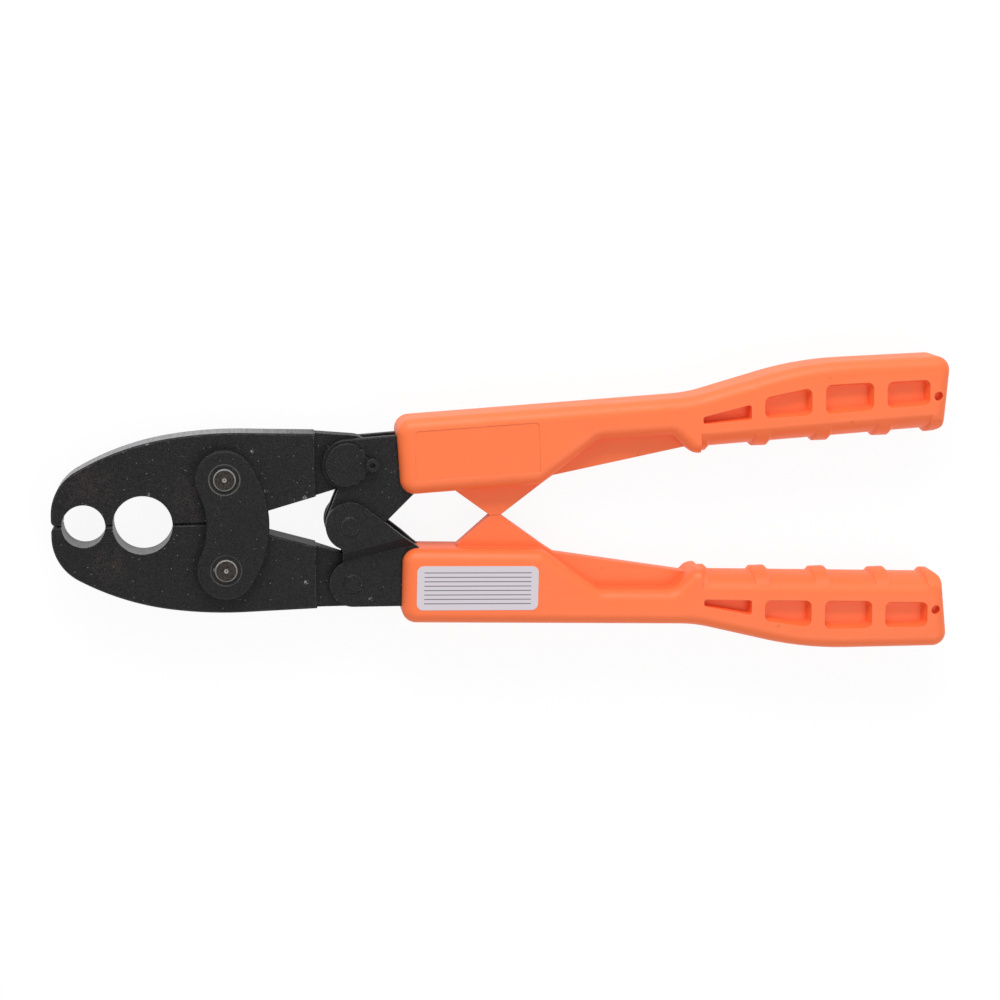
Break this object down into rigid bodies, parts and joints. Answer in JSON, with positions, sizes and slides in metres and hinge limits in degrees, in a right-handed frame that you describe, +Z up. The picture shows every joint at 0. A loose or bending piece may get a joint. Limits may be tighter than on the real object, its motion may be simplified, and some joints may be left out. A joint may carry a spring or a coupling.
{
  "type": "pex crimp ring tool",
  "caption": "Long-handled ring crimping tool for plastic water pipe, with two round dies in steel jaws, a compound linkage, an adjusting cam and moulded grips.",
  "frame": {"origin": "middle of the bounding box, on the plane that the tool lies on", "axes": "+X from the nose to the handle ends, +Y to the side with the adjusting cam, +Z up through the thickness, cam side up"},
  "size_m": [0.319, 0.1058, 0.022],
  "materials": {
    "black_steel": "black oxide, slightly worn at the edges",
    "pin_steel": "black oxide, ground ends",
    "fastener_steel": "black oxide",
    "grip_plastic": "satin moulded"
  },
  "bodies": {
    "head_link": {"front_link_plate": "black_steel", "rear_link_plate": "black_steel", "upper_jaw_pin": "pin_steel", "lower_jaw_pin": "pin_steel"},
    "upper_jaw": {"upper_jaw": "black_steel"},
    "lower_jaw": {"lower_jaw": "black_steel"},
    "upper_handle": {"upper_arm_front_plate": "black_steel", "upper_arm_rear_plate": "black_steel", "adjusting_cam": "black_steel", "cam_washer": "fastener_steel", "cam_retaining_ring": "fastener_steel", "cam_lock_screw": "fastener_steel", "upper_arm_spacer": "black_steel", "upper_arm_rivets": "pin_steel", "upper_grip": "grip_plastic"},
    "lower_handle": {"lower_arm_front_plate": "black_steel", "lower_arm_rear_plate": "black_steel", "centre_pin": "pin_steel", "centre_spacer": "black_steel", "lower_arm_pin": "pin_steel", "lower_arm_spacer": "black_steel", "lower_arm_rivets": "pin_steel", "lower_grip": "grip_plastic"}
  },
  "joints": [
    {"name": "upper_jaw_hinge", "type": "hinge", "parent": "head_link", "child": "upper_jaw", "pos_m": [-0.09994, 0.01351, 0.011], "axis": [0, 0, -1], "range_deg": [0, 11.63]},
    {"name": "cam_hinge", "type": "hinge", "parent": "upper_jaw", "child": "upper_handle", "pos_m": [-0.05601, 0.01889, 0.011], "axis": [0, 0, 1], "range_deg": [0, 67.28]},
    {"name": "centre_hinge", "type": "hinge", "parent": "upper_handle", "child": "lower_handle", "pos_m": [-0.05674, -0.00394, 0.011], "axis": [0, 0, -1], "range_deg": [0, 117.1]},
    {"name": "lower_jaw_hinge", "type": "hinge", "parent": "head_link", "child": "lower_jaw", "pos_m": [-0.09994, -0.01839, 0.011], "axis": [0, 0, 1], "range_deg": [0, 11.63]}
  ],
  "couplings": [
    {"joint": "upper_jaw_hinge", "follows": "centre_hinge", "ratio": 0.09925},
    {"joint": "cam_hinge", "follows": "centre_hinge", "ratio": 0.57453},
    {"joint": "lower_jaw_hinge", "follows": "centre_hinge", "ratio": 0.09925}
  ]
}
